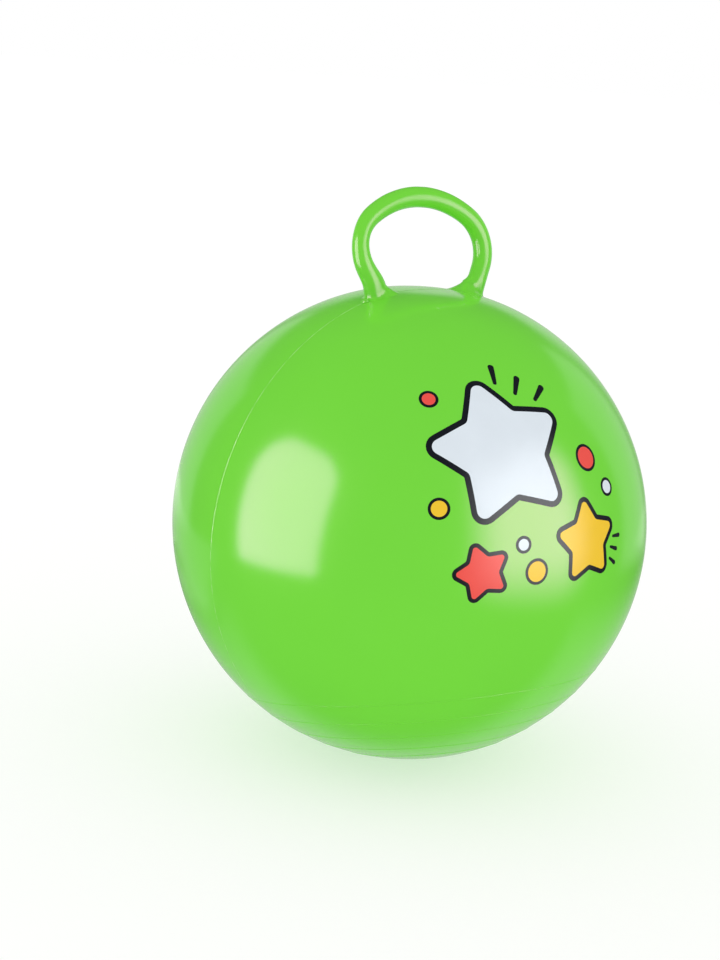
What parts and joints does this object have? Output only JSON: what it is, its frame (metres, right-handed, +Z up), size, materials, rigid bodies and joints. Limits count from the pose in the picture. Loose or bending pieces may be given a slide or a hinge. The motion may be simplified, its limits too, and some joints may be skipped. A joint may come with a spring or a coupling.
{
  "type": "hopper ball",
  "caption": "Inflated ball that a child sits and bounces on, with a leaning loop handle to hold and an air valve closed by a pull-out plug.",
  "frame": {"origin": "centre of the flat patch on which the ball bears on the floor", "axes": "+Z up through the ball's centre, X across the loop handle, -Y out of the printed front, +Y towards the rider and the valve"},
  "size_m": [0.4506, 0.45, 0.5364],
  "materials": {
    "pvc_green": "glossy moulded flexible PVC, bright green",
    "plug_white": "moulded white polyethylene"
  },
  "bodies": {
    "ball": {"ball_skin": "pvc_green", "loop_handle": "pvc_green", "valve_boss": "pvc_green"},
    "plug": {"valve_plug": "plug_white"}
  },
  "joints": [
    {"name": "plug_pull", "type": "slide", "parent": "ball", "child": "plug", "axis": [0, 0.9063, -0.4226], "range_m": [0, 0.03]}
  ]
}
